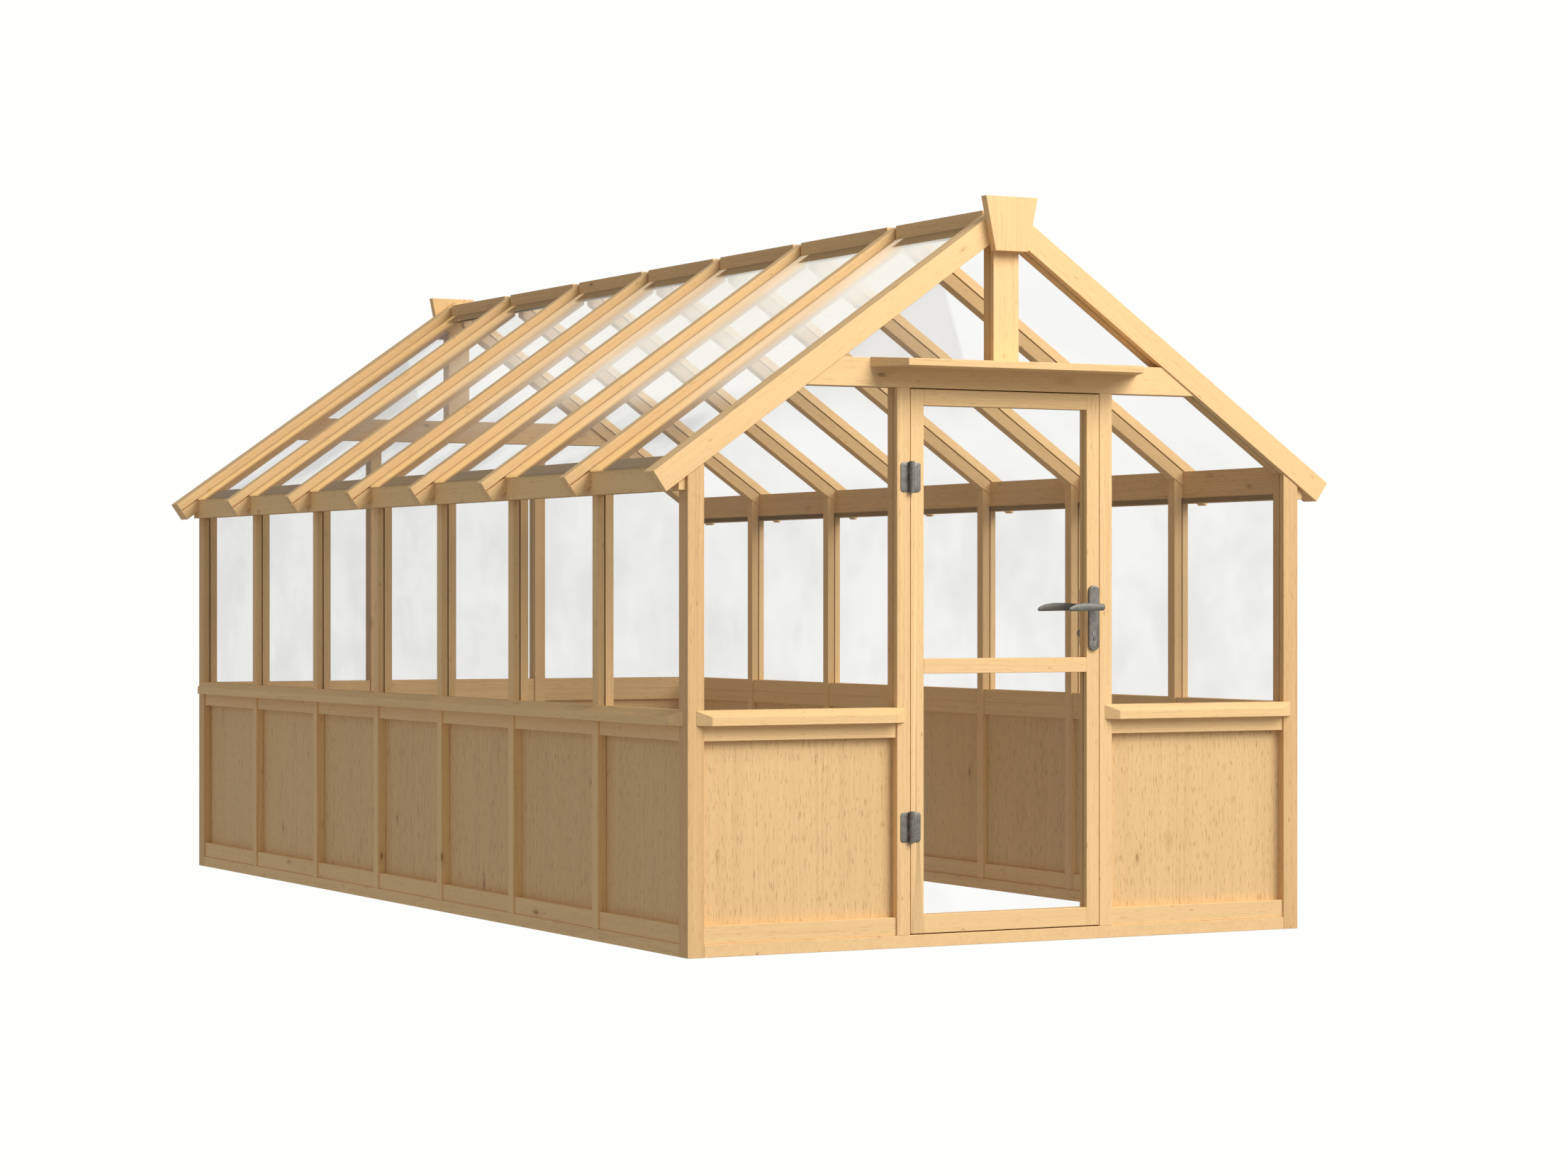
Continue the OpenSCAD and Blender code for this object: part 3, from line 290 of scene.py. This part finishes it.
def glareGroup():
    tree, ins, outs = newGroup("roofGlare", [
        ("Vector", "NodeSocketVector", (0, 0, 0)),
        ("Across", "NodeSocketFloat", 0.5),
        ("Amount", "NodeSocketFloat", 0.6),
        ("Mirror", "NodeSocketFloat", mirrored["tan"])],
        [("Share", "NodeSocketFloat"), ("Warmth", "NodeSocketFloat"),
         ("Line", "NodeSocketFloat"), ("Ridge", "NodeSocketFloat")])
    place = axes(tree, ins["Vector"])
    rise = spread(tree, place[0], *mirrored["rise"])
    front = spread(tree, place[1], *mirrored["front"])
    clouds = spread(tree, noise(tree, ins["Vector"], 1.3, 2.0, 0.5), *mirrored["clouds"],
        mirrored["thinnest"], 1.0)
    white = times(tree, times(tree, times(tree, rise, front), clouds), ins["Amount"])
    blur = spread(tree, place[0], *mirrored["tanBlur"])
    start = calc(tree, "SUBTRACT", mirrored["tanEdge"][0],
        times(tree, blur, mirrored["tanSoft"][0]))
    end = plus(tree, mirrored["tanEdge"][1], times(tree, blur, mirrored["tanSoft"][1]))
    tan = times(tree, ins["Mirror"], spread(tree, ins["Across"], start, end))
    left = calc(tree, "LESS_THAN", place[0], 0.0)
    feed(tree, outs["Share"], calc(tree, "MULTIPLY", calc(tree, "MAXIMUM", white, tan), left,
        clamp=True))
    feed(tree, outs["Warmth"], calc(tree, "DIVIDE", tan,
        plus(tree, plus(tree, white, tan), 0.001), clamp=True))
    feed(tree, outs["Line"], times(tree, left, spread(tree, ins["Across"], *mirrored["line"])))
    feed(tree, outs["Ridge"], times(tree, spread(tree, place[0], *mirrored["ridge"]),
        times(tree, left, spread(tree, ins["Across"], *mirrored["ridgeEnd"]))))
    return tree


# cast metal: fine speckle for relief, soft wear for colour and roughness
cast = {
    "grit": 900.0,
    "wear": 55.0,
    "wearShade": (0.82, 1.1),
    "wearRough": 0.25,
}


def metalGroup():
    tree, ins, outs = newGroup("satinMetal", [
        ("Vector", "NodeSocketVector", (0, 0, 0)),
        ("Tint", "NodeSocketColor", (0.2, 0.19, 0.18, 1)),
        ("Rough", "NodeSocketFloat", 0.35)],
        [("Color", "NodeSocketColor"), ("Roughness", "NodeSocketFloat"),
         ("Height", "NodeSocketFloat")])
    grit = noise(tree, ins["Vector"], cast["grit"], 2.0, 0.6)
    wear = noise(tree, ins["Vector"], cast["wear"], 3.0, 0.6)
    tinted = addNode(tree, "ShaderNodeVectorMath", operation="SCALE")
    feed(tree, tinted.inputs[0], ins["Tint"])
    feed(tree, tinted.inputs["Scale"], spread(tree, wear, 0.3, 0.7, *cast["wearShade"]))
    feed(tree, outs["Color"], tinted.outputs[0])
    feed(tree, outs["Roughness"], plus(tree, ins["Rough"],
        swing(tree, wear, cast["wearRough"]), clamp=True))
    feed(tree, outs["Height"], grit)
    return tree


sawnPine = pineGroup()
glassHaze = hazeGroup()
roofGlare = glareGroup()
satinMetal = metalGroup()


def newMaterial(name):
    made = bpy.data.materials.new(name)
    made.use_nodes = True
    tree = made.node_tree
    return made, tree, tree.nodes["Principled BSDF"]


def useGroup(tree, group, **values):
    made = addNode(tree, "ShaderNodeGroup", node_tree=group)
    for key, value in values.items():
        feed(tree, made.inputs[key], value)
    return made


def objectCoords(tree):
    return addNode(tree, "ShaderNodeTexCoord").outputs["Object"]


def ownValue(tree, name):
    return addNode(tree, "ShaderNodeAttribute", attribute_name=name).outputs


def relief(tree, shader, height, strength, distance):
    bump = addNode(tree, "ShaderNodeBump")
    feed(tree, bump.inputs["Height"], height)
    feed(tree, bump.inputs["Strength"], strength)
    feed(tree, bump.inputs["Distance"], distance)
    tree.links.new(bump.outputs[0], shader.inputs["Normal"])


def woodMaterial(name, light, dark, rings, knots, flecks, bump):
    made, tree, shader = newMaterial(name)
    wood = useGroup(tree, sawnPine, Vector=ownValue(tree, "grain")["Vector"],
        Tone=ownValue(tree, "toneAndShade")["Fac"], Light=light, Dark=dark, Rings=rings, Knots=knots,
        Flecks=flecks)
    tree.links.new(wood.outputs["Color"], shader.inputs["Base Color"])
    tree.links.new(wood.outputs["Roughness"], shader.inputs["Roughness"])
    shader.inputs["Specular IOR Level"].default_value = 0.25
    relief(tree, shader, wood.outputs["Height"], bump, 0.0006)
    return made


def metalMaterial(name, tint, rough, metallic):
    made, tree, shader = newMaterial(name)
    metal = useGroup(tree, satinMetal, Vector=objectCoords(tree), Tint=tint, Rough=rough)
    tree.links.new(metal.outputs["Color"], shader.inputs["Base Color"])
    tree.links.new(metal.outputs["Roughness"], shader.inputs["Roughness"])
    shader.inputs["Metallic"].default_value = metallic
    relief(tree, shader, metal.outputs["Height"], 0.08, 0.0002)
    return made


# the painted glare: how it glows, its white and tan reflections, the shaded ridge mirrored and the
# painted shadow line
glare = {
    "strength": 0.42,                       # how brightly the painted glare glows of itself
    "white": (0.95, 0.92, 0.83, 1),
    "tan": (0.90, 0.59, 0.25, 1),
    "mirroredRidge": (0.40, 0.26, 0.125, 1),
    "line": 0.75,
    "ridgeShare": 0.97,
}


# glass as the camera sees it, while light loses the share held at each face on its way in
def glassMaterial(name, clear, cloudy, size, grazing, held, bank=0.0, glared=0.0, high=1.0):
    made, tree, shader = newMaterial(name)
    # haze: an even dimming with painted reflections of clouds and the gable's grey bank
    hazeAndReflection = useGroup(tree, glassHaze, Vector=objectCoords(tree), Clear=clear, Cloudy=cloudy,
        Size=size, Bank=bank, High=high)
    # panes seen edge on hide more in the haze colour: a painted reflection
    rim = addNode(tree, "ShaderNodeLayerWeight").outputs["Facing"]
    alpha = plus(tree, hazeAndReflection.outputs["Alpha"],
        times(tree, calc(tree, "POWER", rim, 3.0), grazing), clamp=True)
    color = hazeAndReflection.outputs["Color"]
    straight = addNode(tree, "ShaderNodeLightPath").outputs["Is Camera Ray"]
    if glared:
        shine = useGroup(tree, roofGlare, Vector=objectCoords(tree),
            Across=ownValue(tree, "across")["Fac"], Amount=glared).outputs
        alpha = calc(tree, "MAXIMUM", alpha, shine["Share"])
        full = calc(tree, "MINIMUM", times(tree, shine["Share"], 4.0), 1.0)
        glow = mixColors(tree, shine["Warmth"], glare["white"], glare["tan"])
        color = mixColors(tree, full, color, glow)
        # painted dark: the shaded ridge mirrored in the pane, and the painted shadow line under
        # the cap
        dark = calc(tree, "MAXIMUM", shine["Ridge"], times(tree, shine["Line"], glare["line"]))
        color = mixColors(tree, dark, color, glare["mirroredRidge"])
        alpha = calc(tree, "MAXIMUM", alpha, times(tree, dark, glare["ridgeShare"]))
        # the painted glare glows for the camera though the glass is no lamp
        shown = times(tree, straight, glare["strength"])
        tree.links.new(times(tree, calc(tree, "SUBTRACT", full, dark, clamp=True), shown),
            shader.inputs["Emission Strength"])
        tree.links.new(glow, shader.inputs["Emission Color"])
    lightRay = calc(tree, "SUBTRACT", 1.0, straight)
    alpha = calc(tree, "MAXIMUM", alpha, times(tree, lightRay, held))
    tree.links.new(color, shader.inputs["Base Color"])
    tree.links.new(alpha, shader.inputs["Alpha"])
    shader.inputs["Roughness"].default_value = 0.05
    shader.inputs["IOR"].default_value = 1.45
    return made


timber = {
    "light": (0.85, 0.565, 0.27, 1),   # early wood
    "dark": (0.55, 0.315, 0.13, 1),    # late wood and streaks
    "rings": 0.26,                     # how strongly the rings show
    "knots": 0.6,
    "flecks": 0.25,
    "bump": 0.25,
}
panelTimber = {
    "light": (0.78, 0.52, 0.25, 1),
    "dark": (0.50, 0.30, 0.125, 1),
    "rings": 0.26,
    "knots": 0.55,
    "flecks": 0.6,
    "bump": 0.25,
}
metals = {
    "bronzeMetal": {"tint": (0.23, 0.216, 0.187, 1), "rough": 0.46, "metallic": 0.6},
    "leverMetal": {"tint": (0.20, 0.19, 0.165, 1), "rough": 0.55, "metallic": 0.4},
    "plainSteel": {"tint": (0.36, 0.35, 0.335, 1), "rough": 0.40, "metallic": 0.9},
}
# clear and cloudy: what the haze hides, its clouds a painted reflection. grazing: what a pane
# hides when seen edge on, a painted reflection.
# held: light lost in each of a pane's two faces. high: share of the haze above the header.
wallGlass = {"clear": 0.010, "cloudy": 0.045, "size": 2.4, "grazing": 0.30}
panes = {
    "frontGlass": dict(wallGlass, held=0.08, bank=0.11, high=0.35),
    "leftGlass": dict(wallGlass, held=0.40),
    "rightGlass": dict(wallGlass, held=0.22),
    "leftRoofGlass": {"clear": 0.020, "cloudy": 0.160, "size": 1.9, "grazing": 0.10,
        "held": 0.36, "glared": 0.85},
    "rightRoofGlass": {"clear": 0.006, "cloudy": 0.028, "size": 1.6, "grazing": 0.08,
        "held": 0.22, "high": 0.45},
}
looks = {"timber": woodMaterial("pineTimber", **timber),
    "panel_timber": woodMaterial("pinePanels", **panelTimber)}
for name, values in metals.items():
    looks[name] = metalMaterial(name, **values)
for name, values in panes.items():
    looks[name] = glassMaterial(name, **values)
print("materials made")


# every board is rounded at its edges and gets its own length of grain
boards = {
    "edgeRound": 0.0016,
    "edgeSteps": 2,
    "shortestEdge": 0.012,   # edges shorter than this stay sharp
    "toneSpread": 0.25,
    "seed": 41,
    # painted shade: a darker tone for parts that stand in shade or get less light
    "paintedShade": {"corner_posts": 0.6, "left_glazing_caps": 0.05, "ridge_blocks": 0.5,
        "right_eaves_beam": 0.4},
    "upright": ("left_infill_panels", "right_infill_panels", "gable_infill_panels", "keystones"),
}


def copyOf(node):
    mesh = bmesh.new()
    mesh.from_mesh(nodes[node].data)
    bmesh.ops.remove_doubles(mesh, verts=mesh.verts, dist=0.00001)
    bmesh.ops.dissolve_limit(mesh, angle_limit=math.radians(0.6), verts=mesh.verts,
        edges=mesh.edges)
    return mesh


def roundEdges(mesh, width, steps, shortest, sharpest=25):
    picked = [e for e in mesh.edges if len(e.link_faces) == 2 and e.is_convex
        and e.calc_face_angle(0) > math.radians(sharpest) and e.calc_length() > shortest]
    bmesh.ops.bevel(mesh, geom=picked, offset=width, offset_type="OFFSET", segments=steps,
        profile=0.5, affect="EDGES", clamp_overlap=False, material=-1)


def islandsOf(mesh):
    mesh.verts.ensure_lookup_table()
    seen = set()
    for start in mesh.verts:
        if start in seen:
            continue
        island, queue = [], [start]
        seen.add(start)
        while queue:
            vert = queue.pop()
            island.append(vert)
            for edge in vert.link_edges:
                other = edge.other_vert(vert)
                if other not in seen:
                    seen.add(other)
                    queue.append(other)
        yield island


def longestWay(island):
    best, way = 0, Vector((0, 0, 1))
    for vert in island:
        for edge in vert.link_edges:
            length = edge.calc_length()
            if length > best + 1e-5:
                best = length
                way = (edge.verts[1].co - edge.verts[0].co).normalized()
    return way


def layGrain(mesh, rng, way, paintedShade):
    grain = mesh.verts.layers.float_vector.new("grain")
    toneAndShade = mesh.verts.layers.float.new("toneAndShade")
    for island in list(islandsOf(mesh)):
        run = way or longestWay(island)
        side = run.cross(Vector((0.3, 0.5, 0.81))).normalized()
        for axis in (Vector((1, 0, 0)), Vector((0, 1, 0)), Vector((0, 0, 1))):
            if abs(run.dot(axis)) < 0.02:
                side = axis
                break
        other = run.cross(side)
        middle = sum((v.co for v in island), Vector()) / len(island)
        # a random stretch of log, its heart 3 to 11 cm off the board
        start = Vector((rng.uniform(0, 60), rng.uniform(-0.05, 0.05), rng.uniform(0.03, 0.11)))
        # the tone is random, plus painted shade for the parts listed in boards
        shade = 0.5 + paintedShade + rng.uniform(-0.5, 0.5) * boards["toneSpread"]
        for vert in island:
            place = vert.co - middle
            vert[grain] = start + Vector((place.dot(run), place.dot(side), place.dot(other)))
            vert[toneAndShade] = shade


def finishPiece(mesh, name, node, material, smoothAngle=None):
    if smoothAngle is not None:
        for face in mesh.faces:
            face.smooth = True
        for edge in mesh.edges:
            edge.smooth = edge.calc_face_angle(0) < math.radians(smoothAngle)
    data = bpy.data.meshes.new(name)
    mesh.to_mesh(data)
    mesh.free()
    data.materials.append(material)
    made = bpy.data.objects.new(name, data)
    bpy.context.scene.collection.objects.link(made)
    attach(made, bodyOf[node])
    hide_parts(node)


def repaint(node, material):
    nodes[node].data.materials.clear()
    nodes[node].data.materials.append(material)


rng = random.Random(boards["seed"])
for node in sorted(nodes):
    if slotOf[node] not in ("timber", "panel_timber"):
        continue
    mesh = copyOf(node)
    roundEdges(mesh, boards["edgeRound"], boards["edgeSteps"], boards["shortestEdge"])
    way = Vector((0, 0, 1)) if node in boards["upright"] else None
    layGrain(mesh, rng, way, boards["paintedShade"].get(node, 0.0))
    finishPiece(mesh, node + "_boards", node, looks[slotOf[node]])
print("boards dressed")


# hinges, plates, levers and lock parts keep their CAD form, most with softened edges
fittings = {
    "edgeRound": 0.0006,
    "edgeSteps": 2,
    "shortestEdge": 0.0015,
    "sharpest": 50,      # degrees a corner turns before it is softened
    "smooth": 35,
    "levers": ("outer_lever", "inner_lever"),
    "bronze": ("frame_screws", "door_screws", "hinge_pins", "lock_cylinder"),
    "others": ("hinge_frame_leaves", "hinge_door_leaves", "backplates", "strike_plate"),
}
for node in sorted(nodes):
    if slotOf[node] not in ("dark_metal", "steel"):
        continue
    look = "bronzeMetal" if slotOf[node] == "dark_metal" else "plainSteel"
    if node in fittings["bronze"]:
        look = "bronzeMetal"
    if node in fittings["levers"]:
        look = "leverMetal"
    if node not in fittings["levers"] + fittings["bronze"] + fittings["others"]:
        repaint(node, looks[look])
        continue
    mesh = copyOf(node)
    if node not in fittings["levers"]:
        roundEdges(mesh, fittings["edgeRound"], fittings["edgeSteps"], fittings["shortestEdge"],
            fittings["sharpest"])
    finishPiece(mesh, node + "_metal", node, looks[look], fittings["smooth"])
print("fittings dressed")


# panes keep their CAD form. The left roof panes also know how far each point lies across its pane.
glassOf = {"left_wall_panes": "leftGlass", "right_wall_panes": "rightGlass",
    "right_roof_panes": "rightRoofGlass"}
for node in sorted(nodes):
    if slotOf[node] == "glass" and node != "left_roof_panes":
        repaint(node, looks[glassOf.get(node, "frontGlass")])
mesh = copyOf("left_roof_panes")
across = mesh.verts.layers.float.new("across")
for island in list(islandsOf(mesh)):
    near = min(v.co.y for v in island)
    far = max(v.co.y for v in island)
    for vert in island:
        vert[across] = (vert.co.y - near) / (far - near)
finishPiece(mesh, "left_roof_panes_glass", "left_roof_panes", looks["leftRoofGlass"])
print("glass set")


# light: one soft sun from the front right, a lamp before the gable, a pale sky all round
light = {
    "sunWay": (0.48, -0.68, 0.55),
    "sunStrength": 2.35,
    "sunSoftness": 40,
    "sunColor": (1.0, 0.985, 0.95),
    "frontPlace": (0.9, -5.4, 4.8),
    "frontAim": (0, -2.3, 1.9),
    "frontSize": 2.5,
    "frontPower": 95,
    "skyColor": (0.97, 0.985, 1.0, 1),
    "skyTop": 0.42,
    "skySide": 0.46,
    "skyBelow": 0.36,
    "backdrop": (0.991, 0.991, 0.973, 1),
}


def addObject(name, data):
    made = bpy.data.objects.new(name, data)
    bpy.context.scene.collection.objects.link(made)
    return made


sun = bpy.data.lights.new("sun", "SUN")
sun.energy = light["sunStrength"]
sun.angle = math.radians(light["sunSoftness"])
sun.color = light["sunColor"]
sunWay = Vector(light["sunWay"])
addObject("sun", sun).rotation_euler = sunWay.to_track_quat("Z", "Y").to_euler()

front = bpy.data.lights.new("front", "AREA")
front.shape = "DISK"
front.size = light["frontSize"]
front.energy = light["frontPower"]
frontObject = addObject("front", front)
frontObject.location = light["frontPlace"]
aim = Vector(light["frontAim"]) - Vector(light["frontPlace"])
frontObject.rotation_euler = aim.to_track_quat("-Z", "Y").to_euler()

world = bpy.data.worlds.new("paleSky")
bpy.context.scene.world = world
world.use_nodes = True
sky = world.node_tree
sky.nodes.clear()
height = axes(sky, addNode(sky, "ShaderNodeTexCoord").outputs["Generated"])[2]
upper = spread(sky, height, 0.0, 1.0, light["skySide"], light["skyTop"])
lower = spread(sky, height, -0.6, 0.0, light["skyBelow"] - light["skySide"], 0.0)
lit = addNode(sky, "ShaderNodeBackground")
lit.inputs["Color"].default_value = light["skyColor"]
feed(sky, lit.inputs["Strength"], plus(sky, upper, lower))
seen = addNode(sky, "ShaderNodeBackground")
seen.inputs["Color"].default_value = light["backdrop"]
seen.inputs["Strength"].default_value = 1.0
choice = addNode(sky, "ShaderNodeMixShader")
feed(sky, choice.inputs[0], addNode(sky, "ShaderNodeLightPath").outputs["Is Camera Ray"])
sky.links.new(lit.outputs[0], choice.inputs[1])
sky.links.new(seen.outputs[0], choice.inputs[2])
sky.links.new(choice.outputs[0], addNode(sky, "ShaderNodeOutputWorld").inputs["Surface"])
print("lights set")


# the photograph's own view: a level camera at chest height
view = {
    "place": (-6.5414, -13.1216, 1.1586),
    "turn": -27.85,
    "lens": 85.56,
    "rise": 0.0075,
}
camera = bpy.data.cameras.new("camera")
camera.lens = view["lens"]
camera.sensor_fit = "HORIZONTAL"
camera.sensor_width = 36
camera.shift_y = view["rise"]
camera.clip_end = 200
cameraObject = addObject("camera", camera)
cameraObject.location = view["place"]
cameraObject.rotation_euler = (math.radians(90), 0, math.radians(view["turn"]))
bpy.context.scene.camera = cameraObject
bpy.context.scene.view_settings.view_transform = "Standard"
print("camera set")
